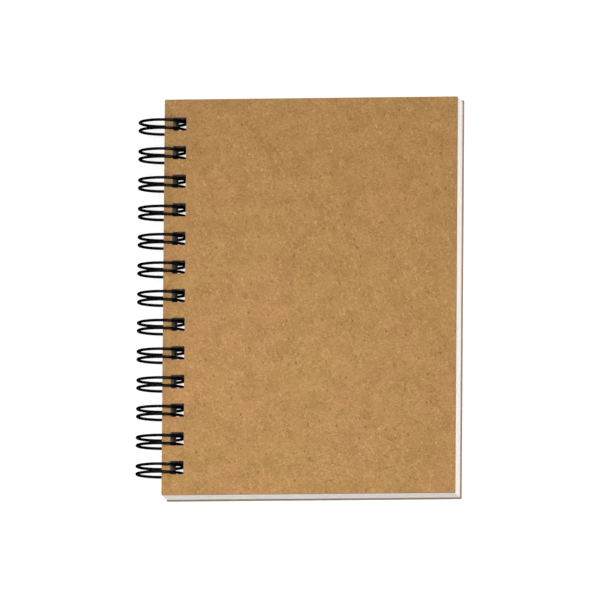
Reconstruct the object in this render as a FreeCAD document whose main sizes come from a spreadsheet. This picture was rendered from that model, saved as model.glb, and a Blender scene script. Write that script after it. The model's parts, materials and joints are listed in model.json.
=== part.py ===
import FreeCAD, Part
import math
import os

import Sketcher
from FreeCAD import Placement, Rotation, Vector

# A sketchbook: two board covers and a block of drawing paper, all punched with the same row of
# square holes along the spine and held by one length of coated wire, bent into a row of twin loops.
#
# Frame: +X runs from the spine to the fore edge, +Y from the tail to the head, +Z up out of the
# table. The book lies closed. It rests on the undersides of its rings and on the fore edge of its
# back board, so it tilts down a little towards the fore edge. The origin is under the middle of it.

document = FreeCAD.newDocument("sketchbook")

# ------------------------------------------------------------------ driving dimensions, in mm
DRIVING_DIMENSIONS = [
    ("leaf_width", 130.0, "sheet and front board, spine edge to fore edge"),
    ("leaf_height", 175.5, "sheet and front board, tail edge to head edge"),
    ("board_thickness", 1.2, "one cover board"),
    ("back_overhang", 0.65, "how far the back board passes the sheets at fore edge, head and tail"),
    ("paper_thickness", 0.26, "one sheet of heavy drawing paper"),
    ("air_gap", 0.02, "air between two leaves of the closed book"),
    ("sheet_count", 45, "sheets in the block"),
    ("lean", 0.45, "how far the stack leans, from the front board down to the back board"),
    ("hole_margin", 3.85, "spine edge to the near side of a hole"),
    ("hole_width", 5.8, "hole, across the spine"),
    ("hole_height", 5.8, "hole, along the spine"),
    ("row_offset", 0.6, "middle of the row of holes, towards the head from the middle of a leaf"),
    ("loop_pitch", 12.7, "one twin loop to the next: two loops to the inch"),
    ("loop_count", 13, "twin loops in the spine"),
    ("wire_diameter", 1.28, "coated wire"),
    ("ring_radius", 10.4, "ring axis to the middle of the wire"),
    ("ring_axis_out", 1.8, "ring axis to the spine edge of the block"),
    ("leg_spacing", 3.5, "between the middles of the two wires of one twin loop"),
    ("root_bend_radius", 1.5, "bend where a wire turns over to the next loop"),
    ("seam_angle", 285.0, "degrees round the ring to the middle of the seam, from the fore edge up"),
    ("seam_gap", 2.0, "between the tip of a closed loop and the line of the roots"),
    ("end_stub", 1.2, "wire left past the last bend at each end of the spine"),
]

sizes = document.addObject("Spreadsheet::Sheet", "sizes")
for row, (alias, value, note) in enumerate(DRIVING_DIMENSIONS, start=1):
    sizes.set(f"A{row}", alias)
    sizes.set(f"B{row}", str(value))
    sizes.set(f"C{row}", note)
    sizes.setAlias(f"B{row}", alias)
document.recompute()

sheet_count = int(sizes.sheet_count)
loop_count = int(sizes.loop_count)
wire_radius = sizes.wire_diameter / 2

# --------------------------------------------------------------------------- the closed stack
# Levels in the stack are measured up from the ring axis, which lies at half its thickness.
sheet_step = sizes.paper_thickness + sizes.air_gap
stack_thickness = 2 * sizes.board_thickness + sheet_count * sheet_step + sizes.air_gap
back_board_bottom = -stack_thickness / 2
front_board_bottom = stack_thickness / 2 - sizes.board_thickness


def sheet_bottom(number):
    """Underside of a sheet. Sheet 1 lies under the front board and the last one on the back board."""
    lowest_sheet = back_board_bottom + sizes.board_thickness + sizes.air_gap
    return lowest_sheet + (sheet_count - number) * sheet_step


def lean_at(bottom, thickness):
    """How far a leaf has slid to the fore edge and the tail, against the middle of the stack."""
    leaf_middle = bottom + thickness / 2
    front_board_middle = front_board_bottom + sizes.board_thickness / 2
    return -sizes.lean / 2 * leaf_middle / front_board_middle


# --------------------------------------------------------------------------------- the rings
# Ring angles are in degrees about the ring axis: 0 points to the fore edge and 90 points up. The
# seam is where the closed tips meet the line of the roots. It is turned in under the back board,
# so that the roots lie flat on the table, out of sight and out of the way of the turning leaves.
FULL_TURN = 360.0
tip_radius = sizes.leg_spacing / 2
half_seam = math.degrees(sizes.seam_gap / 2 / sizes.ring_radius)
root_bend_angle = math.degrees(math.atan(sizes.root_bend_radius / sizes.ring_radius))
tip_bend_angle = math.degrees(math.atan(tip_radius / sizes.ring_radius))
leg_foot_angle = sizes.seam_angle - half_seam - root_bend_angle
leg_toe_angle = sizes.seam_angle + half_seam + tip_bend_angle - FULL_TURN


def ring_point(angle, along_spine):
    """A point on the ring's centre line, measured along the spine from the middle of its loop."""
    turn = math.radians(angle)
    across = sizes.ring_radius * math.cos(turn)
    up = sizes.ring_radius * math.sin(turn)
    return Vector(across, along_spine, up)


def ring_tangent(angle):
    """The direction in which the ring angle grows."""
    turn = math.radians(angle)
    return Vector(-math.sin(turn), 0, math.cos(turn))


root_start = ring_point(leg_foot_angle, 0) + ring_tangent(leg_foot_angle) * sizes.root_bend_radius
tip_end = ring_point(leg_toe_angle, 0) - ring_tangent(leg_toe_angle) * tip_radius


def root(side, straight_length):
    """A root of a loop: a straight run along the spine, then a quarter bend into the leg's foot.

    The side is +1 towards the head and -1 towards the tail.
    """
    foot = ring_point(leg_foot_angle, side * tip_radius)
    outward = Vector(0, side * sizes.root_bend_radius, 0)
    onward = ring_tangent(leg_foot_angle) * sizes.root_bend_radius
    bend_centre = foot + outward
    bend_end = bend_centre + onward
    bend_middle = bend_centre + (onward - outward) * math.sqrt(0.5)
    straight_end = bend_end + Vector(0, side * straight_length, 0)
    straight = Part.LineSegment(straight_end, bend_end).toShape()
    bend = Part.Arc(bend_end, bend_middle, foot).toShape()
    return [straight, bend]


def leg(along_spine):
    """A leg of a loop: the long arc from its foot, over the spine and through the holes, to its toe."""
    crown_angle = (leg_foot_angle + leg_toe_angle) / 2
    foot = ring_point(leg_foot_angle, along_spine)
    crown = ring_point(crown_angle, along_spine)
    toe = ring_point(leg_toe_angle, along_spine)
    return Part.Arc(foot, crown, toe).toShape()


def loop_line(tail_straight, head_straight):
    """The centre line of one twin loop, from its root on the tail side to the one on the head side."""
    tail_toe = ring_point(leg_toe_angle, -tip_radius)
    head_toe = ring_point(leg_toe_angle, tip_radius)
    tip = Part.Arc(tail_toe, tip_end, head_toe).toShape()
    tail_half = root(-1, tail_straight) + [leg(-tip_radius)]
    head_half = [leg(tip_radius)] + root(1, head_straight)[::-1]
    return Part.Wire(tail_half + [tip] + head_half)


# ------------------------------------------------------------------------ how the book lies down
# The tilt brings the undersides of the roots and the lower fore edge of the back board to one level.
fore_edge = sizes.ring_axis_out + sizes.leaf_width + sizes.back_overhang + sizes.lean / 2
support_run = fore_edge - root_start.x
support_rise = back_board_bottom - root_start.z
support_distance = math.hypot(support_run, support_rise)
tilt = math.atan2(support_rise, support_run) + math.asin(wire_radius / support_distance)
book_tilt = Rotation(Vector(0, 1, 0), math.degrees(tilt))

lowest_root = book_tilt.multVec(root_start).z - wire_radius
back_board_top = back_board_bottom + sizes.board_thickness
fore_reach = book_tilt.multVec(Vector(fore_edge, 0, back_board_top)).x
ring_reach = sizes.ring_radius + wire_radius
ring_axis = Vector((ring_reach - fore_reach) / 2, 0, -lowest_root)


def in_the_book(across, along, up):
    """Where a piece goes when its own zero lies at this place, measured from the ring axis."""
    return Placement(ring_axis, book_tilt) * Placement(Vector(across, along, up), Rotation())


# --------------------------------------------------------------------------------- leaves
def origin_plane(body):
    """The horizontal plane of a body's own origin."""
    return next(feature for feature in body.Origin.OriginFeatures if feature.Role == "XY_Plane")


def rectangle(body, name, left, bottom, width, height):
    """A rectangle sketch, placed and sized by expressions.

    With no left or no bottom, that side of the rectangle starts on the body's own axis.
    """
    sketch = body.newObject("Sketcher::SketchObject", name)
    sketch.AttachmentSupport = [(origin_plane(body), "")]
    sketch.MapMode = "FlatFace"
    corners = [Vector(1, 1, 0), Vector(2, 1, 0), Vector(2, 2, 0), Vector(1, 2, 0)]
    for start, end in zip(corners, corners[1:] + corners[:1]):
        sketch.addGeometry(Part.LineSegment(start, end), False)
    bottom_side, right_side, top_side, left_side = range(len(corners))
    start_point, end_point = 1, 2
    origin, along_axis, up_axis = -1, -1, -2
    for side in range(len(corners)):
        following = (side + 1) % len(corners)
        sketch.addConstraint(
            Sketcher.Constraint("Coincident", side, end_point, following, start_point)
        )
    for side in (bottom_side, top_side):
        sketch.addConstraint(Sketcher.Constraint("Horizontal", side))
    for side in (right_side, left_side):
        sketch.addConstraint(Sketcher.Constraint("Vertical", side))

    def size(kind, first, first_point, second, second_point, expression):
        """Adds a distance between two points and binds it to an expression."""
        number = sketch.addConstraint(
            Sketcher.Constraint(kind, first, first_point, second, second_point, 1.0)
        )
        sketch.setExpression(f"Constraints[{number}]", expression)

    size("DistanceX", bottom_side, start_point, bottom_side, end_point, width)
    size("DistanceY", right_side, start_point, right_side, end_point, height)
    if left is None:
        sketch.addConstraint(
            Sketcher.Constraint("PointOnObject", bottom_side, start_point, up_axis)
        )
    else:
        size("DistanceX", origin, start_point, bottom_side, start_point, left)
    if bottom is None:
        sketch.addConstraint(
            Sketcher.Constraint("PointOnObject", bottom_side, start_point, along_axis)
        )
    else:
        size("DistanceY", origin, start_point, bottom_side, start_point, bottom)
    return sketch


def leaf(name, width, height, thickness):
    """A leaf of the book: a flat plate with the row of square holes beside its spine edge.

    Its sizes are expressions. Its own zero is the lower corner of its spine edge and tail edge.
    """
    body = document.addObject("PartDesign::Body", name)
    body.Label = name
    outline = rectangle(body, f"{name}_outline", None, None, width, height)
    plate = body.newObject("PartDesign::Pad", f"{name}_plate")
    plate.Profile = outline
    plate.setExpression("Length", thickness)

    row_length = "(sizes.loop_count - 1) * sizes.loop_pitch"
    first_hole = f"({height} - {row_length} - sizes.hole_height) / 2 + sizes.row_offset"
    punch = rectangle(
        body, f"{name}_punch", "sizes.hole_margin", first_hole, "sizes.hole_width", "sizes.hole_height"
    )
    hole = body.newObject("PartDesign::Pocket", f"{name}_hole")
    hole.Profile = punch
    hole.Type = "ThroughAll"
    hole.Reversed = True

    hole_row = body.newObject("PartDesign::LinearPattern", f"{name}_hole_row")
    hole_row.Originals = [hole]
    hole_row.Direction = (punch, ["V_Axis"])
    hole_row.setExpression("Length", row_length)
    hole_row.setExpression("Occurrences", "sizes.loop_count")
    body.Tip = hole_row
    return body


sheets = []
for number in range(1, sheet_count + 1):
    drawing_sheet = leaf(
        f"sheet_{number:02d}", "sizes.leaf_width", "sizes.leaf_height", "sizes.paper_thickness"
    )
    bottom = sheet_bottom(number)
    slid = lean_at(bottom, sizes.paper_thickness)
    drawing_sheet.Placement = in_the_book(
        sizes.ring_axis_out + slid, sizes.lean / 2 - slid - sizes.leaf_height / 2, bottom
    )
    sheets.append(drawing_sheet)

front_cover = leaf(
    "front_cover", "sizes.leaf_width", "sizes.leaf_height", "sizes.board_thickness"
)
front_slid = lean_at(front_board_bottom, sizes.board_thickness)
front_cover.Placement = in_the_book(
    sizes.ring_axis_out + front_slid,
    sizes.lean / 2 - front_slid - sizes.leaf_height / 2,
    front_board_bottom,
)

back_cover = leaf(
    "back_cover",
    "sizes.leaf_width + sizes.back_overhang",
    "sizes.leaf_height + 2 * sizes.back_overhang",
    "sizes.board_thickness",
)
back_slid = lean_at(back_board_bottom, sizes.board_thickness)
back_cover.Placement = in_the_book(
    sizes.ring_axis_out + back_slid,
    sizes.lean / 2 - back_slid - sizes.leaf_height / 2 - sizes.back_overhang,
    back_board_bottom,
)

# --------------------------------------------------------------------------------- wire loops
# The wire is one length. It is divided here at the middle of each root, where two loops meet face
# to face. Loop 1 is at the head.
half_root = (sizes.loop_pitch - sizes.leg_spacing) / 2 - sizes.root_bend_radius
ROOT_LENGTHS = {
    "head_loop": (half_root, sizes.end_stub),
    "inner_loop": (half_root, half_root),
    "tail_loop": (sizes.end_stub, half_root),
}
loop_lines = {}
wire_sections = {}
for kind, (tail_straight, head_straight) in ROOT_LENGTHS.items():
    line = document.addObject("Part::Feature", f"{kind}_line")
    line.Shape = loop_line(tail_straight, head_straight)
    section = document.addObject("Part::Circle", f"{kind}_section")
    section.setExpression("Radius", "sizes.wire_diameter / 2")
    line_start = line.Shape.OrderedVertexes[0].Point
    section.Placement = Placement(line_start, Rotation(Vector(0, 0, 1), Vector(0, 1, 0)))
    loop_lines[kind] = line
    wire_sections[kind] = section


def wire_loop(number):
    """One twin loop of the spine wire, at its place in the row."""
    kind = {1: "head_loop", loop_count: "tail_loop"}.get(number, "inner_loop")
    name = f"wire_loop_{number:02d}"
    loop = document.addObject("Part::Sweep", name)
    loop.Label = name
    loop.Sections = [wire_sections[kind]]
    loop.Spine = (loop_lines[kind], [])
    loop.Solid = True
    row_middle = sizes.lean / 2 + sizes.row_offset
    steps_from_middle = (loop_count + 1) / 2 - number
    loop.Placement = in_the_book(0, row_middle + steps_from_middle * sizes.loop_pitch, 0)
    return loop


wire_loops = [wire_loop(number) for number in range(1, loop_count + 1)]

# --------------------------------------------------------------------------- checks and export
document.recompute()
subparts = [front_cover] + sheets + [back_cover] + wire_loops

for item in document.Objects:
    failed = {"Invalid", "Error"} & set(item.State)
    if failed:
        raise RuntimeError(f"{item.Name} did not build: {sorted(failed)}")
for subpart in subparts:
    if subpart.Shape.isNull() or not subpart.Shape.isValid():
        raise RuntimeError(f"{subpart.Label} has no valid shape")

hole_area = loop_count * sizes.hole_width * sizes.hole_height
for sheet in sheets:
    paper_area = sizes.leaf_width * sizes.leaf_height - hole_area
    expected = paper_area * sizes.paper_thickness
    if not math.isclose(sheet.Shape.Volume, expected, rel_tol=1e-6):
        raise RuntimeError(f"{sheet.Label} isn't punched right through: {sheet.Shape.Volume:.3f}")
for loop in wire_loops:
    expected = math.pi * wire_radius**2 * loop.Spine[0].Shape.Length
    if not math.isclose(loop.Shape.Volume, expected, rel_tol=1e-3):
        raise RuntimeError(f"{loop.Label} isn't a whole tube: {loop.Shape.Volume:.3f}")

os.makedirs("parts", exist_ok=True)
for subpart in subparts:
    subpart.Shape.exportStep(f"parts/{subpart.Label}.step")

whole = Part.Compound([subpart.Shape for subpart in subparts]).BoundBox
print(f"{len(subparts)} sub-parts, tilt {math.degrees(tilt):.4f} degrees, stack {stack_thickness:.2f} mm")
print(f"ring axis at x {ring_axis.x:.4f}, z {ring_axis.z:.4f}; hinge direction (0, -1, 0)")
print(f"x {whole.XMin:.3f} to {whole.XMax:.3f}, y {whole.YMin:.3f} to {whole.YMax:.3f}")
print(f"z {whole.ZMin:.3f} to {whole.ZMax:.3f}")
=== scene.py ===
# %% [markdown]
# # A wire-bound sketchbook
#
# This lesson builds the looks of a small sketchbook: two kraft boards, a block of drawing sheets and
# one black wire that is bent into a row of twin loops along the spine. The design already exists as
# a packed model with its hinges. It is loaded first and stays fixed, and every piece made here is
# laid exactly where the design has it.

# %% Load the packed model
import json
import math
import random

import bmesh
import bpy
from mathutils import Matrix, Vector


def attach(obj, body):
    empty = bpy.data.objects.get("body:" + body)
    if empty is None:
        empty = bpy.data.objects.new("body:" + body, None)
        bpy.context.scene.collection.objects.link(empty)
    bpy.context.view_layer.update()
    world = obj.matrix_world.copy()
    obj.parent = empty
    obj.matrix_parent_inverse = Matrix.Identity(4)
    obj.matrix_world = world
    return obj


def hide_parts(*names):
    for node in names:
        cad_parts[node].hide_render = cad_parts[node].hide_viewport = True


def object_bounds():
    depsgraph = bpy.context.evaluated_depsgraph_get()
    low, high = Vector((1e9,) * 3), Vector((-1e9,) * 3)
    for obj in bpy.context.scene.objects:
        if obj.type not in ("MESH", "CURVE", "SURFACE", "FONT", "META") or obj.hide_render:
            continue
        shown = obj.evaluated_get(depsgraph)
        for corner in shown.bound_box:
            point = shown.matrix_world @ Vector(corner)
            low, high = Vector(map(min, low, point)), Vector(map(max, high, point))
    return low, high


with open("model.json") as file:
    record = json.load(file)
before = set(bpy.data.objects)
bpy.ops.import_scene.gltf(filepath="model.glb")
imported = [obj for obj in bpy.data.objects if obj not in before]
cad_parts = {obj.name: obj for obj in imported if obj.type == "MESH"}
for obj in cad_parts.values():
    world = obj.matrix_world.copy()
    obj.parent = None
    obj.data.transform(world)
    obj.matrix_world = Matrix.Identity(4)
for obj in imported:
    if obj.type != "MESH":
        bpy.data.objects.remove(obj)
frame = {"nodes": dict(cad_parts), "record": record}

cad_low, cad_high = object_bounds()
print("model box in mm", [round(1000 * side, 1) for side in cad_high - cad_low])

# %% [markdown]
# ## Where the book lies
#
# The closed book rests on its rings and on the fore edge of the back board, so it leans a little to
# the right. It is far easier to build a book that lies flat, so all leaves and the wire are made
# in the book's own space: its zero is the middle of the rings, x runs to the fore edge, y to the
# head and z straight through the leaves. One matrix then lays everything on the table. The ring
# axis is read from the hinges, and the lean from the direction of the fore edge mount.

# %% The book's own space
hinges = frame["record"]["behaviour"]["joints"]
ring_axis = Vector(hinges[0]["pos_m"])
mounts = {mount["name"]: mount for mount in frame["record"]["mounts"]}
outward = Vector(mounts["fore_edge"]["axis"])
lean_angle = math.atan2(-outward.z, outward.x)
book_space = Matrix.Translation(ring_axis) @ Matrix.Rotation(lean_angle, 4, "Y")
to_book = book_space.inverted()
print("ring axis", ring_axis, "lean in degrees", round(math.degrees(lean_angle), 3))

MM = 0.001


def levels(values):
    """The different values in a list, in order. Values within a hundredth of a millimetre are one."""
    found = []
    for value in sorted(values):
        if not found or value - found[-1] > 0.01 * MM:
            found.append(value)
    return found


def leaf_plan(node):
    """The lines on which a punched leaf's outline and holes lie: across, along and through."""
    corners = [to_book @ vertex.co for vertex in frame["nodes"][node].data.vertices]
    return [levels(corner[axis] for corner in corners) for axis in range(3)]


ROOT_BODY = "back_cover_and_wire"
body_nodes = frame["record"]["behaviour"]["bodies"]
sheet_nodes = sorted(node for node in frame["nodes"] if node.startswith("sheet_"))
loop_nodes = sorted(node for node in body_nodes[ROOT_BODY] if node.startswith("wire_loop_"))
front_plan = leaf_plan("front_cover")
print(len(sheet_nodes), "sheets,", len(loop_nodes), "twin loops")
print("front board lines across, in mm", [round(line / MM, 2) for line in front_plan[0]])

# %% [markdown]
# ## Node helpers
#
# Every material below is procedural: a few noises in the piece's own space, shaped and mixed. These
# small helpers keep the recipes readable. Sizes are given in millimetres of real material, because
# a fibre or a speck has a size that can be measured, and a bare noise scale says nothing.

# %% Helpers for materials
class Recipe:
    """One material and the nodes it is mixed from."""

    def __init__(self, name):
        self.material = bpy.data.materials.new(name)
        self.material.use_nodes = True
        self.tree = self.material.node_tree
        self.shader = self.tree.nodes["Principled BSDF"]
        self.place = self.tree.nodes.new("ShaderNodeTexCoord").outputs["Object"]

    def link(self, source, socket):
        self.tree.links.new(source, socket)

    def feed(self, socket, value):
        """Sets a socket to a plain number or colour, or links it to another node."""
        if isinstance(value, bpy.types.NodeSocket):
            self.link(value, socket)
        else:
            socket.default_value = value

    def stretched(self, across=1.0, along=1.0, through=1.0, turn=0.0):
        """The piece's space, stretched and turned, for marks that run in one direction."""
        mapping = self.tree.nodes.new("ShaderNodeMapping")
        mapping.vector_type = "TEXTURE"
        self.link(self.place, mapping.inputs["Vector"])
        mapping.inputs["Rotation"].default_value = (0.0, 0.0, math.radians(turn))
        mapping.inputs["Scale"].default_value = (across, along, through)
        return mapping.outputs["Vector"]

    def noise(self, size_mm, detail=2.0, roughness=0.5, distortion=0.0, space=None):
        """A cloudy noise whose clouds are about `size_mm` across."""
        node = self.tree.nodes.new("ShaderNodeTexNoise")
        self.link(space or self.place, node.inputs["Vector"])
        node.inputs["Scale"].default_value = 1.0 / (size_mm * MM)
        node.inputs["Detail"].default_value = detail
        node.inputs["Roughness"].default_value = roughness
        node.inputs["Distortion"].default_value = distortion
        return node.outputs["Fac"]

    def specks(self, spacing_mm, space=None):
        """Distance to the nearest of many scattered points, and a random value of that point."""
        node = self.tree.nodes.new("ShaderNodeTexVoronoi")
        self.link(space or self.place, node.inputs["Vector"])
        node.inputs["Scale"].default_value = 1.0 / (spacing_mm * MM)
        node.inputs["Randomness"].default_value = 1.0
        split = self.tree.nodes.new("ShaderNodeSeparateColor")
        self.link(node.outputs["Color"], split.inputs["Color"])
        return node.outputs["Distance"], split.outputs["Red"]

    def ramp(self, value, low, high, start=0.0, end=1.0):
        """Moves the stretch from low to high onto start to end, smoothly and without overshoot."""
        node = self.tree.nodes.new("ShaderNodeMapRange")
        node.interpolation_type = "SMOOTHSTEP"
        self.feed(node.inputs["Value"], value)
        node.inputs["From Min"].default_value = low
        node.inputs["From Max"].default_value = high
        node.inputs["To Min"].default_value = start
        node.inputs["To Max"].default_value = end
        return node.outputs["Result"]

    def math(self, operation, first, second):
        node = self.tree.nodes.new("ShaderNodeMath")
        node.operation = operation
        self.feed(node.inputs[0], first)
        self.feed(node.inputs[1], second)
        return node.outputs["Value"]

    def mix(self, amount, first, second):
        """Mixes two colours: 0 gives the first and 1 the second."""
        node = self.tree.nodes.new("ShaderNodeMix")
        node.data_type = "RGBA"
        self.feed(node.inputs["Factor"], amount)
        self.feed(node.inputs["A"], first)
        self.feed(node.inputs["B"], second)
        return node.outputs["Result"]

    def bump(self, height, depth_mm, strength=1.0):
        """Raises the surface by a height field, and leaves the geometry alone."""
        node = self.tree.nodes.new("ShaderNodeBump")
        node.inputs["Strength"].default_value = strength
        node.inputs["Distance"].default_value = depth_mm * MM
        self.link(height, node.inputs["Height"])
        self.link(node.outputs["Normal"], self.shader.inputs["Normal"])


print("helpers:", [name for name in vars(Recipe) if not name.startswith("_")])

# %% [markdown]
# ## Kraft board
#
# Kraft board is pressed from unbleached pulp. Seen close it is never one brown: there are soft clouds
# where the pulp settled unevenly, short curled fibres that are darker or paler than the rest, and
# loose specks of bark and straw. A printed pattern could be wrapped over the board, but it would
# repeat and blur at the edges, so the board is mixed from noises instead, each at the size its mark
# has on real board. The fibres also lift the surface a few hundredths of a millimetre.

# %% Kraft board for the faces of the covers
KRAFT = (0.431, 0.237, 0.082, 1.0)
KRAFT_ROSY = (0.472, 0.232, 0.100, 1.0)
KRAFT_SHADE = (0.269, 0.141, 0.041, 1.0)
KRAFT_PALE = (0.610, 0.379, 0.157, 1.0)
BARK = (0.150, 0.075, 0.022, 1.0)
STRAW = (0.760, 0.510, 0.240, 1.0)
FIBRES = (
    # turn in degrees, length mm, width mm, colour, strength
    (12.0, 4.2, 0.72, KRAFT_SHADE, 0.62),
    (-38.0, 3.6, 0.62, KRAFT_PALE, 0.55),
    (63.0, 3.0, 0.62, KRAFT_SHADE, 0.60),
    (-74.0, 4.4, 0.66, KRAFT_PALE, 0.50),
    (35.0, 2.4, 0.55, KRAFT_PALE, 0.50),
    (-20.0, 2.2, 0.60, KRAFT_SHADE, 0.58),
)
SPECKS = (
    # spacing mm, radius, share left out, colour, strength
    (2.6, 0.26, 0.80, BARK, 0.62),
    (1.7, 0.28, 0.84, BARK, 0.42),
    (2.3, 0.24, 0.84, STRAW, 0.42),
)


def kraft_face():
    """The uncoated outer face of a cover board."""
    kraft = Recipe("kraft_board_face")
    clouds = kraft.ramp(kraft.noise(16.0, detail=3.0), 0.42, 0.66)
    tone = kraft.mix(kraft.math("MULTIPLY", clouds, 0.75), KRAFT, KRAFT_ROSY)
    settled = kraft.ramp(kraft.noise(9.0, detail=4.0, roughness=0.6), 0.38, 0.66, 0.0, 0.40)
    tone = kraft.mix(settled, tone, KRAFT_SHADE)

    crowding = kraft.ramp(kraft.noise(6.0, detail=2.0), 0.32, 0.62, 0.35, 1.0)
    relief = kraft.noise(0.5, detail=3.0, roughness=0.6)
    for turn, length_mm, width_mm, colour, strength in FIBRES:
        space = kraft.stretched(across=length_mm, along=width_mm, turn=turn)
        curled = kraft.noise(1.0, detail=2.0, distortion=1.2, space=space)
        fibre = kraft.ramp(curled, 0.575, 0.66)
        amount = kraft.math("MULTIPLY", kraft.math("MULTIPLY", fibre, crowding), strength)
        tone = kraft.mix(amount, tone, colour)
        relief = kraft.math("ADD", relief, kraft.math("MULTIPLY", fibre, 0.5))
    for spacing_mm, radius, share, colour, strength in SPECKS:
        wobbly = kraft.stretched(across=1.5, along=0.8, turn=40.0 * spacing_mm)
        distance, chance = kraft.specks(spacing_mm, space=wobbly)
        spot = kraft.ramp(distance, radius, radius * 0.45)
        kept = kraft.ramp(chance, share, share + 0.02)
        amount = kraft.math("MULTIPLY", kraft.math("MULTIPLY", spot, kept), strength)
        tone = kraft.mix(amount, tone, colour)

    grain = kraft.noise(0.9, detail=3.0, roughness=0.7)
    tone = kraft.mix(kraft.ramp(grain, 0.50, 0.74, 0.0, 0.38), tone, KRAFT_SHADE)
    tone = kraft.mix(kraft.ramp(grain, 0.50, 0.28, 0.0, 0.34), tone, KRAFT_PALE)
    fuzz = kraft.noise(0.42, detail=1.0, roughness=0.5)
    tone = kraft.mix(kraft.ramp(fuzz, 0.52, 0.74, 0.0, 0.42), tone, KRAFT_SHADE)
    tone = kraft.mix(kraft.ramp(fuzz, 0.48, 0.26, 0.0, 0.36), tone, KRAFT_PALE)
    kraft.feed(kraft.shader.inputs["Base Color"], tone)
    kraft.feed(kraft.shader.inputs["Roughness"], kraft.ramp(grain, 0.2, 0.8, 0.80, 0.92))
    kraft.shader.inputs["Specular IOR Level"].default_value = 0.1
    kraft.bump(relief, 0.04, strength=0.5)
    return kraft.material


kraft_face_finish = kraft_face()
print("kraft face:", len(kraft_face_finish.node_tree.nodes), "nodes")

# %% [markdown]
# A cover is cut from a thicker, greyer board, and only its outer face is kraft. Where the guillotine
# and the punch go through it, the plies show as fine lines that run round the edge. The inner
# face is the same grey-brown pulp, a little mottled.

# %% Cut edge and lining of the cover board
PULP = (0.285, 0.210, 0.142, 1.0)
PULP_DARK = (0.180, 0.124, 0.077, 1.0)
PULP_PALE = (0.385, 0.300, 0.215, 1.0)


def pulp_board(name, ply_depth):
    """Grey-brown pulp. `ply_depth` is how strongly the plies show, from 0 on a face to 1 on a cut."""
    pulp = Recipe(name)
    cloud = pulp.noise(5.0, detail=5.0, roughness=0.65)
    tone = pulp.mix(pulp.ramp(cloud, 0.30, 0.74, 0.30, 0.80), PULP_PALE, PULP)
    grain = pulp.noise(0.5, detail=3.0, roughness=0.7)
    tone = pulp.mix(pulp.ramp(grain, 0.52, 0.72, 0.0, 0.6), tone, PULP_DARK)
    plies = pulp.noise(1.0, detail=3.0, space=pulp.stretched(6.0, 6.0, 0.09))
    tone = pulp.mix(pulp.ramp(plies, 0.45, 0.62, 0.0, 0.75 * ply_depth), tone, PULP_DARK)
    pulp.feed(pulp.shader.inputs["Base Color"], tone)
    pulp.shader.inputs["Roughness"].default_value = 0.92
    pulp.shader.inputs["Specular IOR Level"].default_value = 0.2
    relief = pulp.mix(ply_depth, grain, plies)
    pulp.bump(relief, 0.06, strength=0.7)
    return pulp.material


board_edge_finish = pulp_board("board_cut_edge", 1.0)
board_lining_finish = pulp_board("board_lining", 0.0)
print("board finishes:", board_edge_finish.name, board_lining_finish.name)

# %% [markdown]
# ## Drawing paper
#
# The sheets are heavy white drawing paper with a tooth: a shallow, even roughness that holds graphite.
# Paper lets a little light through, which softens the dark lines between the sheets. The cut
# edges are a touch warmer and rougher than the faces, and no two sheets have quite the same white.

# %% Paper for the faces and the cut edges of the sheets
PAPER = (0.830, 0.815, 0.790, 1.0)
PAPER_WARM = (0.818, 0.799, 0.770, 1.0)
EDGE_LIGHT = (0.870, 0.825, 0.795, 1.0)
EDGE_SHADE = (0.680, 0.635, 0.600, 1.0)


def paper_face():
    """The toothed face of a drawing sheet."""
    paper = Recipe("drawing_paper_face")
    cloud = paper.noise(9.0, detail=3.0)
    tone = paper.mix(paper.ramp(cloud, 0.35, 0.65), PAPER, PAPER_WARM)
    tooth = paper.noise(0.45, detail=4.0, roughness=0.7)
    paper.feed(paper.shader.inputs["Base Color"], tone)
    paper.feed(paper.shader.inputs["Roughness"], paper.ramp(tooth, 0.2, 0.8, 0.82, 0.95))
    paper.shader.inputs["Specular IOR Level"].default_value = 0.3
    paper.bump(tooth, 0.05, strength=0.5)
    return paper.material


def paper_edge():
    """The guillotined edge. Its noise is even across one sheet and changes from sheet to sheet."""
    edge = Recipe("drawing_paper_edge")
    sheet_by_sheet = edge.noise(1.0, detail=2.0, space=edge.stretched(60.0, 60.0, 0.28))
    along_edge = edge.noise(1.0, detail=3.0, space=edge.stretched(1.4, 1.4, 0.20))
    tone = edge.mix(edge.ramp(sheet_by_sheet, 0.38, 0.66, 0.0, 0.55), EDGE_LIGHT, EDGE_SHADE)
    tone = edge.mix(edge.ramp(along_edge, 0.50, 0.75, 0.0, 0.35), tone, EDGE_SHADE)
    edge.feed(edge.shader.inputs["Base Color"], tone)
    edge.shader.inputs["Roughness"].default_value = 0.95
    edge.shader.inputs["Specular IOR Level"].default_value = 0.2
    edge.bump(along_edge, 0.05, strength=0.6)
    return edge.material


paper_face_finish = paper_face()
paper_edge_finish = paper_edge()
print("paper finishes:", paper_face_finish.name, paper_edge_finish.name)

# %% [markdown]
# The walls of the punched holes get a near-black colour. Most of it is painted shade, standing in for
# the deep shade inside the holes, so a hole in a bound block looks almost black next to the clean cut
# edges. A little of
# it is real: the wire rubs against the walls and leaves some of its black there.

# %% Painted shade and rub marks on the walls of the punched holes
# Painted shade: these near-black colours stand in for the shade deep inside the holes; only a little
# is the wire's rub marks.
PAINTED_HOLE_SHADE = (0.075, 0.070, 0.066, 1.0)
PAINTED_HOLE_SHADE_PALE = (0.190, 0.180, 0.168, 1.0)


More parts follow.
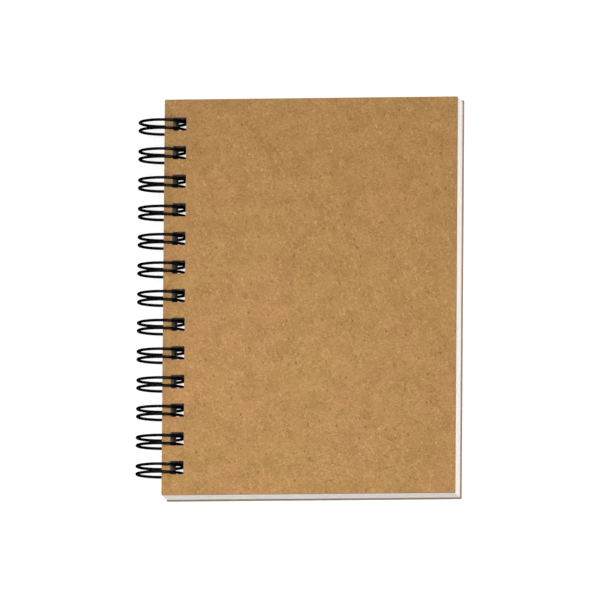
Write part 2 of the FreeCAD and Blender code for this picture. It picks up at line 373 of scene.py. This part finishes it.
def painted_shade_and_rub_wall():
    """The wall of a hole: painted shade for the deep shade inside it, with some rub marks, in random
    patches.
    """
    wall = Recipe("hole_wall_painted_shade_and_rub")
    # Random patches between the darker and the paler painted shade.
    shade_and_rub_patches = wall.ramp(wall.noise(1.6, detail=3.0), 0.40, 0.68)
    wall.feed(wall.shader.inputs["Base Color"], wall.mix(shade_and_rub_patches, PAINTED_HOLE_SHADE, PAINTED_HOLE_SHADE_PALE))
    wall.shader.inputs["Roughness"].default_value = 0.9
    wall.shader.inputs["Specular IOR Level"].default_value = 0.2
    return wall.material


hole_wall_shade_and_rub_finish = painted_shade_and_rub_wall()
print("hole wall finish:", hole_wall_shade_and_rub_finish.name)

# %% [markdown]
# ## Punched leaves
#
# A leaf is a flat plate with a row of square holes. A boolean would cut the holes, but it leaves long
# thin triangles that catch the light badly. Here the plate is laid out as a grid on the lines of
# the outline and of the holes, the hole cells are left empty, and the grid is pulled up to its
# thickness. The punch has slightly rounded corners, and the rims are a little crushed, so the
# upright corners and the rims are bevelled: an edge without any bevel never looks real.

# %% A leaf as a grid of cells
UPRIGHT = 0.99
SHARP = math.radians(45)


def is_hole_cell(column, row):
    """Holes are in the middle column of three, and in every second row."""
    return column == 1 and row % 2 == 1


def leaf_grid(mesh, across, along, low, high):
    """Fills `mesh` with the closed plate. Returns the edges that stand at its corners and holes."""
    points = {}
    for column, x in enumerate(across):
        for row, y in enumerate(along):
            points[column, row] = mesh.verts.new((x, y, low))
    cells = []
    for column in range(len(across) - 1):
        for row in range(len(along) - 1):
            if is_hole_cell(column, row):
                continue
            ring = ((column, row), (column, row + 1), (column + 1, row + 1), (column + 1, row))
            cells.append(mesh.faces.new([points[place] for place in ring]))
    raised = bmesh.ops.extrude_face_region(mesh, geom=cells, use_keep_orig=True)
    lifted = [item for item in raised["geom"] if isinstance(item, bmesh.types.BMVert)]
    bmesh.ops.translate(mesh, verts=lifted, vec=(0.0, 0.0, high - low))
    bmesh.ops.recalc_face_normals(mesh, faces=mesh.faces)
    mesh.normal_update()

    def is_corner(edge):
        upright = abs((edge.verts[0].co - edge.verts[1].co).normalized().z) > UPRIGHT
        return upright and edge.calc_face_angle(0.0) > SHARP

    return [edge for edge in mesh.edges if is_corner(edge)]


rows = range(len(front_plan[1]) - 1)
print("holes in one leaf:", sum(is_hole_cell(1, row) for row in rows))

# %% [markdown]
# A leaf has four kinds of face: the one that looks up, the one that looks down, the outer cut edge
# and the walls of the holes. Each kind gets a finish of its own. The kind is told from the way a
# face looks and from where it lies, so no face has to be picked by hand.

# %% Bevels and finishes of a leaf
FACE_UP, FACE_DOWN, CUT_EDGE, HOLE_WALL = 0, 1, 2, 3
CORNER_SEGMENTS = 3


def is_level(face):
    """True for the faces a hand would lie on, false for cut edges and bevels."""
    return abs(face.normal.z) > UPRIGHT


def bevel(mesh, edges, size_mm, segments):
    bmesh.ops.bevel(
        mesh, geom=edges, offset=size_mm * MM, offset_type="OFFSET", segments=segments,
        profile=0.5, affect="EDGES", clamp_overlap=True,
    )
    mesh.normal_update()


def sort_faces(mesh, across, along, rim):
    """Tells every face of the leaf which of the four finishes it takes."""

    def is_hole_wall(face):
        place = face.calc_center_median()
        in_column = across[1] - rim < place.x < across[2] + rim
        return in_column and along[1] - rim < place.y < along[-2] + rim

    for face in mesh.faces:
        if not is_level(face):
            face.material_index = HOLE_WALL if is_hole_wall(face) else CUT_EDGE
        elif face.normal.z > 0:
            face.material_index = FACE_UP
        else:
            face.material_index = FACE_DOWN


def leaf_piece(name, plan, corner_mm, rim_mm, rim_segments, finishes, trim=(0.0, 0.0, 0.0)):
    """A punched leaf on the lines of `plan`. `trim` moves its fore edge, head and tail, in mm."""
    across, along, (low, high) = [list(lines) for lines in plan]
    fore_trim, head_trim, tail_trim = [amount * MM for amount in trim]
    across[-1] += fore_trim
    along[-1] += head_trim
    along[0] += tail_trim
    mesh = bmesh.new()
    corners = leaf_grid(mesh, across, along, low, high)
    bevel(mesh, corners, corner_mm, CORNER_SEGMENTS)
    rims = [
        edge for edge in mesh.edges
        if len(edge.link_faces) == 2 and sum(is_level(face) for face in edge.link_faces) == 1
    ]
    bevel(mesh, rims, rim_mm, rim_segments)
    sort_faces(mesh, across, along, rim_mm * MM)
    data = bpy.data.meshes.new(name)
    mesh.to_mesh(data)
    mesh.free()
    for finish in finishes:
        data.materials.append(finish)
    piece = bpy.data.objects.new(name, data)
    bpy.context.collection.objects.link(piece)
    piece.matrix_world = book_space
    return piece


print("kinds of face:", len((FACE_UP, FACE_DOWN, CUT_EDGE, HOLE_WALL)))

# %% [markdown]
# ## The two covers
#
# Both boards are punched with the same die as the sheets. The back board is a little larger than the
# sheets, which shows as a thin brown line at the fore edge and at the tail.

# %% Front and back board
BOARD_CORNER_MM = 0.35
BOARD_RIM_MM = 0.10
BOARD_RIM_SEGMENTS = 3
front_board = leaf_piece(
    "front_board", front_plan, BOARD_CORNER_MM, BOARD_RIM_MM, BOARD_RIM_SEGMENTS,
    (kraft_face_finish, board_lining_finish, board_edge_finish, hole_wall_shade_and_rub_finish),
)
back_board = leaf_piece(
    "back_board", leaf_plan("back_cover"), BOARD_CORNER_MM, BOARD_RIM_MM, BOARD_RIM_SEGMENTS,
    (board_lining_finish, kraft_face_finish, board_edge_finish, hole_wall_shade_and_rub_finish),
)
for board, node, body in (
    (front_board, "front_cover", "front_cover"), (back_board, "back_cover", ROOT_BODY),
):
    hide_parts(node)
    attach(board, body)
    print(board.name, len(board.data.polygons), "faces")

# %% [markdown]
# ## The block of drawing sheets
#
# A plain block would do from a distance, but every sheet turns on its own hinge, so every sheet is
# a piece. After binding, the block is never perfectly even: each sheet sits a few hundredths of a
# millimetre in or out. That small play is what makes the edge of a real block read as paper.

# %% Forty-five sheets, each trimmed a little differently
SHEET_CORNER_MM = 0.30
SHEET_RIM_MM = 0.035
SHEET_RIM_SEGMENTS = 1
TRIM_MM = 0.045
trimming = random.Random(11)
for node in sheet_nodes:
    trim = [trimming.uniform(-TRIM_MM, TRIM_MM) for _ in range(3)]
    sheet = leaf_piece(
        node.replace("sheet_", "drawing_sheet_"), leaf_plan(node),
        SHEET_CORNER_MM, SHEET_RIM_MM, SHEET_RIM_SEGMENTS,
        (paper_face_finish, paper_face_finish, paper_edge_finish, hole_wall_shade_and_rub_finish), trim,
    )
    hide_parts(node)
    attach(sheet, node)
print("sheets made:", len(sheet_nodes), "with", len(sheet.data.polygons), "faces each")

# %% [markdown]
# ## The spine wire
#
# The wire is one length. It runs along the spine in short straight roots, and between two roots it
# goes out and back as a pair of legs that end in a round tip. A closing tool rolls the pairs round
# until the tips meet the roots under the back board. A curve object with a round bevel would be
# the quick way, but its corners pinch in the tight bends. Here the centre line is worked out as
# arcs, and a ring of points is carried along it without twist, which keeps the wire round all the way.

# %% Sizes of the rings, read from one packed loop
def loop_middle(node):
    """Where the two legs of a loop are centred along the spine, at the crown of the ring."""
    outline = [to_book @ vertex.co for vertex in frame["nodes"][node].data.vertices]
    top = max(point.z for point in outline)
    crown = [point.y for point in outline if point.z > top - MM]
    return (min(crown) + max(crown)) / 2, max(crown) - min(crown)


loop_points = [to_book @ vertex.co for vertex in frame["nodes"][loop_nodes[1]].data.vertices]
ring_outer = max(point.z for point in loop_points)
ring_inner = min(math.hypot(point.x, point.z) for point in loop_points)
wire_radius = (ring_outer - ring_inner) / 2
ring_radius = (ring_outer + ring_inner) / 2
middles = sorted((loop_middle(node) for node in loop_nodes), reverse=True)
pitch = (middles[0][0] - middles[-1][0]) / (len(middles) - 1)
leg_offset = middles[0][1] / 2 - wire_radius
wire_ends = [
    max((to_book @ vertex.co).y for vertex in frame["nodes"][loop_nodes[0]].data.vertices),
    min((to_book @ vertex.co).y for vertex in frame["nodes"][loop_nodes[-1]].data.vertices),
]
print("ring radius", round(ring_radius / MM, 3), "wire radius", round(wire_radius / MM, 3), "mm")
print("pitch", round(pitch / MM, 3), "legs", round(leg_offset / MM, 3), "mm either side")

# %% [markdown]
# A loop can only move as far as the punched holes let it. The stack leans a little, so the covers,
# which are farthest from the middle of the stack, leave the least room beside the legs.

# %% Room for the loops to move
leg_outer = leg_offset + wire_radius


def room_in(plan):
    """The smallest gap along the spine between a leg and the wall of its hole, in one leaf."""
    along = plan[1]
    holes = reversed(list(zip(along[1:-1:2], along[2:-1:2])))
    return min(
        min(high - (middle + leg_outer), (middle - leg_outer) - low)
        for (middle, _), (low, high) in zip(middles, holes)
    )


hole_room = min(room_in(front_plan), room_in(leaf_plan("back_cover")))
print("room beside a leg:", round(hole_room / MM, 3), "mm")

# %% [markdown]
# A closed ring is not a perfect circle and its two legs are not perfectly parallel. Every loop has
# a little play of its own, drawn once from a seeded random. The slide, the slant and the spread
# take shares of the room that add up to less than all of it, so the wire stays clear of the leaves
# whatever is drawn. The play fades out towards the roots, because there the loops are one wire and
# have to meet. The seam, where the tips meet the roots, is under the back board. Angles round the
# ring start at the fore edge and go up first.

# %% One leg of a loop
SLIDE_SHARE, SLANT_SHARE, SPREAD_SHARE = 0.45, 0.15, 0.20
SWELL = 0.05 * MM
ROOT_BEND = 1.5 * MM
SEAM_GAP = 2.0 * MM
SEAM_ANGLE = math.radians(285)
half_seam = SEAM_GAP / 2 / ring_radius
foot_angle = SEAM_ANGLE - half_seam - math.atan(ROOT_BEND / ring_radius)
toe_angle = SEAM_ANGLE + half_seam + math.atan(leg_offset / ring_radius) - 2 * math.pi


def ring_point(angle, along, radius):
    return Vector((radius * math.cos(angle), along, radius * math.sin(angle)))


def ring_tangent(angle):
    return Vector((-math.sin(angle), 0.0, math.cos(angle)))


class Play:
    """How one loop differs from the drawing: it slides along the spine, slants, spreads and swells."""

    def __init__(self, dice):
        self.slide = dice.uniform(-SLIDE_SHARE, SLIDE_SHARE) * hole_room
        self.slant = dice.uniform(-SLANT_SHARE, SLANT_SHARE) * hole_room
        self.spread = dice.uniform(-SPREAD_SHARE, SPREAD_SHARE) * hole_room
        self.swell = dice.uniform(-SWELL, SWELL)

    def leg(self, side, angle):
        """A point on one leg. `side` is +1 towards the head."""
        going = (foot_angle - angle) / (foot_angle - toe_angle)
        grown = math.sin(math.pi * min(1.0, 2 * going) / 2) ** 2
        shift = grown * (self.slide + self.slant * math.sin(angle))
        spread = self.spread * math.sin(math.pi * going) ** 2
        radius = ring_radius + self.swell * math.sin(math.pi * going) ** 2
        return ring_point(angle, shift + side * (leg_offset + spread), radius)


leg_turn = math.degrees(foot_angle - toe_angle)
print("a leg goes", round(leg_turn), "degrees round the ring")

# %% [markdown]
# One loop is a root bend, a leg, the round tip, the other leg and a root bend again. The two legs are
# the same curve on either side of the middle, so one function draws both.

# %% One whole loop
LEG_STEPS = 72
BEND_STEPS = 7
TIP_STEPS = 14


def loop_line(middle, play):
    """Points of one loop from the end of its head-side root bend to the end of its tail-side bend."""
    onward = ring_tangent(foot_angle)
    points = []

    def bend(side):
        centre = play.leg(side, foot_angle) + Vector((0.0, side * ROOT_BEND, 0.0))
        turns = [math.pi / 2 * step / BEND_STEPS for step in range(BEND_STEPS + 1)]
        return [
            centre + ROOT_BEND * (math.cos(turn) * onward - Vector((0.0, side * math.sin(turn), 0.0)))
            for turn in turns
        ]

    leg_angles = [
        foot_angle + (toe_angle - foot_angle) * step / LEG_STEPS for step in range(1, LEG_STEPS)
    ]
    points += bend(1)
    points += [play.leg(1, angle) for angle in leg_angles]
    head_toe, tail_toe = play.leg(1, toe_angle), play.leg(-1, toe_angle)
    centre = (head_toe + tail_toe) / 2
    reach = (head_toe - tail_toe).length / 2
    closing = -ring_tangent(toe_angle)
    for step in range(TIP_STEPS + 1):
        turn = math.pi * step / TIP_STEPS
        sideways = Vector((0.0, math.cos(turn), 0.0))
        points.append(centre + reach * (sideways + math.sin(turn) * closing))
    points += [play.leg(-1, angle) for angle in reversed(leg_angles)]
    points += reversed(bend(-1))
    return [point + Vector((0.0, middle, 0.0)) for point in points]


even_loop = loop_line(0.0, Play(random.Random(0)))
print("points in one loop:", len(even_loop))

# %% [markdown]
# The loops are strung together with the straight roots. The wire ends in a short stub at either end
# of the spine, where the packed model ends too. The seed is an arbitrary number: it stands for no
# particular book, and another one gives another wire that is just as good.

# %% The centre line of the whole wire
ROOT_STEP = 0.8 * MM
PLAY_SEED = 23


def root_run(start, end):
    """Points inside the straight root between two loops, without its ends."""
    steps = max(2, round((end - start).length / ROOT_STEP))
    return [start.lerp(end, step / steps) for step in range(1, steps)]


dice = random.Random(PLAY_SEED)
wire_line = []
for middle, _ in middles:
    loop = loop_line(middle, Play(dice))
    if wire_line:
        wire_line += root_run(wire_line[-1], loop[0])
    else:
        loop.insert(0, Vector((loop[0].x, wire_ends[0], loop[0].z)))
    wire_line += loop
wire_line.append(Vector((wire_line[-1].x, wire_ends[1], wire_line[-1].z)))
wire_length = sum((b - a).length for a, b in zip(wire_line, wire_line[1:]))
print("wire:", len(wire_line), "points,", round(wire_length, 3), "m long")

# %% [markdown]
# The ring of points is carried from one step to the next by the smallest turn that follows the
# line, so it never twists. The cut ends get a small chamfer, as a wire cutter leaves.

# %% A round tube along a line
ROUND_STEPS = 16
CUT_CHAMFER = 0.12 * MM


def tube(name, line, radius):
    """A closed round tube through the points of `line`, which are places on the table."""
    directions = [
        (line[min(i + 1, len(line) - 1)] - line[max(i - 1, 0)]).normalized() for i in range(len(line))
    ]
    side = directions[0].orthogonal().normalized()
    vertices, faces = [], []
    for i, (point, direction) in enumerate(zip(line, directions)):
        if i:
            side = directions[i - 1].rotation_difference(direction) @ side
        side = (side - side.dot(direction) * direction).normalized()
        other = direction.cross(side)
        at_end = i in (0, len(line) - 1)
        width = radius - CUT_CHAMFER if at_end else radius
        for step in range(ROUND_STEPS):
            turn = 2 * math.pi * step / ROUND_STEPS
            vertices.append(point + width * (math.cos(turn) * side + math.sin(turn) * other))
    for i in range(len(line) - 1):
        for step in range(ROUND_STEPS):
            after = (step + 1) % ROUND_STEPS
            low, high = i * ROUND_STEPS, (i + 1) * ROUND_STEPS
            faces.append((low + step, low + after, high + after, high + step))
    faces.append(tuple(reversed(range(ROUND_STEPS))))
    last = (len(line) - 1) * ROUND_STEPS
    faces.append(tuple(range(last, last + ROUND_STEPS)))
    data = bpy.data.meshes.new(name)
    data.from_pydata(vertices, [], faces)
    data.shade_smooth()
    piece = bpy.data.objects.new(name, data)
    bpy.context.collection.objects.link(piece)
    return piece


facet = 2 * math.pi * wire_radius / ROUND_STEPS
print("facets round the wire:", ROUND_STEPS, "of", round(facet / MM, 2), "mm")

# %% [markdown]
# The coating on the steel is a thin glossy black plastic. It is so dark that nearly all it shows is
# reflection, so it is mixed as a very dark metal whose edges stay dark too: a plain black plastic
# would turn white wherever a wire stands on end in a white room. It has a very fine orange peel,
# and it is a little duller where the closing tool pressed the loops.

# %% Black coated wire
COATING = (0.0085, 0.0085, 0.0095, 1.0)
COATING_RUBBED = (0.016, 0.016, 0.017, 1.0)
DARK_EDGES = (0.0, 0.0, 0.0, 1.0)


def wire_coating():
    """The thin black plastic on the steel wire."""
    coating = Recipe("black_wire_coating")
    rubbed = coating.ramp(coating.noise(2.6, detail=4.0, roughness=0.7), 0.52, 0.72)
    coating.feed(coating.shader.inputs["Base Color"], coating.mix(rubbed, COATING, COATING_RUBBED))
    coating.shader.inputs["Metallic"].default_value = 1.0
    coating.shader.inputs["Specular Tint"].default_value = DARK_EDGES
    coating.feed(coating.shader.inputs["Roughness"], coating.ramp(rubbed, 0.0, 1.0, 0.26, 0.40))
    coating.bump(coating.noise(0.28, detail=2.0), 0.010, strength=0.22)
    return coating.material


spine_wire = tube("spine_wire", [book_space @ point for point in wire_line], wire_radius)
spine_wire.data.materials.append(wire_coating())
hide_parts(*loop_nodes)
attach(spine_wire, ROOT_BODY)
print("spine wire:", len(spine_wire.data.polygons), "faces")

# %% [markdown]
# ## Table, light and camera
#
# The book lies on a white light table, the usual way to show a small product: the acrylic sheet is
# lit a little from below, so contact shadows stay soft and pale. A white room gives most of the
# light. A large soft panel high on the right models the edges and gives the wire its narrow
# highlights, and a small one above the spine lifts the board beside the rings.

# %% Light table
WHITE = (1.0, 1.0, 1.0, 1.0)
TABLE_GREY = (0.50, 0.50, 0.50, 1.0)
TABLE_GLOW = 0.76
TABLE_HALF = 20.0


def light_table():
    """A plain white sheet with a little light of its own."""
    table = Recipe("white_light_table")
    table.shader.inputs["Base Color"].default_value = TABLE_GREY
    table.shader.inputs["Roughness"].default_value = 0.9
    table.shader.inputs["Specular IOR Level"].default_value = 0.1
    table.shader.inputs["Emission Color"].default_value = WHITE
    table.shader.inputs["Emission Strength"].default_value = TABLE_GLOW
    data = bpy.data.meshes.new("light_table")
    quarters = ((-1, -1), (1, -1), (1, 1), (-1, 1))
    corners = [(TABLE_HALF * x, TABLE_HALF * y, 0.0) for x, y in quarters]
    data.from_pydata(corners, [], [(0, 1, 2, 3)])
    data.materials.append(table.material)
    piece = bpy.data.objects.new("light_table", data)
    bpy.context.collection.objects.link(piece)
    piece.location.z = cad_low.z


light_table()
print("light table:", 2 * TABLE_HALF, "m wide")

# %% Soft light
ROOM_LIGHT = 0.40
room = bpy.data.worlds.new("white_room")
room.use_nodes = True
room.node_tree.nodes["Background"].inputs["Color"].default_value = WHITE
room.node_tree.nodes["Background"].inputs["Strength"].default_value = ROOM_LIGHT
bpy.context.scene.world = room


def soft_panel(name, place, size, power, aim):
    """A square of soft light, `size` metres wide, that isn't seen itself."""
    light = bpy.data.lights.new(name, "AREA")
    light.shape = "RECTANGLE"
    light.size = light.size_y = size
    light.energy = power
    panel = bpy.data.objects.new(name, light)
    panel.location = place
    panel.rotation_euler = (Vector(aim) - Vector(place)).to_track_quat("-Z", "Y").to_euler()
    panel.visible_camera = False
    bpy.context.collection.objects.link(panel)


soft_panel("key_panel", place=(0.780, -0.100, 1.150), size=0.50, power=10.2, aim=(0.0, 0.0, 0.0))
soft_panel(
    "spine_panel", place=(-0.050, -0.065, 0.230), size=0.12, power=0.19, aim=(-0.050, -0.065, 0.0),
)
print("lights:", [light.name for light in bpy.data.lights], "and a room of strength", ROOM_LIGHT)

# %% [markdown]
# The camera looks almost straight down, from a little to the right and a little below the book, so
# that a strip of paper shows at the fore edge and at the tail. It stands far back with a long lens,
# which keeps the outline of the cover square.

# %% Camera
CAMERA_DISTANCE = 8.0
SIDEWAYS, DOWNWARDS = 0.157, -0.134
camera_direction = Vector((SIDEWAYS, DOWNWARDS, math.sqrt(1 - SIDEWAYS**2 - DOWNWARDS**2)))
VIEW_WIDTH = 0.26386
CAMERA_ROLL = math.radians(0.45)
aim = Vector((0.37, -0.23, 8.0)) * MM
lens = bpy.data.cameras.new("studio_camera")
lens.sensor_width = 36.0
lens.lens = lens.sensor_width * CAMERA_DISTANCE / VIEW_WIDTH
lens.clip_end = 4 * CAMERA_DISTANCE
camera = bpy.data.objects.new("studio_camera", lens)
bpy.context.collection.objects.link(camera)
upright = Vector((0.0, 1.0, 0.0))
right = upright.cross(camera_direction).normalized()
up = camera_direction.cross(right)
turn = Matrix((right, up, camera_direction)).transposed().to_4x4()
camera.matrix_world = (
    Matrix.Translation(aim + CAMERA_DISTANCE * camera_direction)
    @ turn
    @ Matrix.Rotation(CAMERA_ROLL, 4, "Z")
)
bpy.context.scene.camera = camera
bpy.context.scene.view_settings.view_transform = "Standard"
print("lens", round(lens.lens), "mm at", CAMERA_DISTANCE, "m")

# %% [markdown]
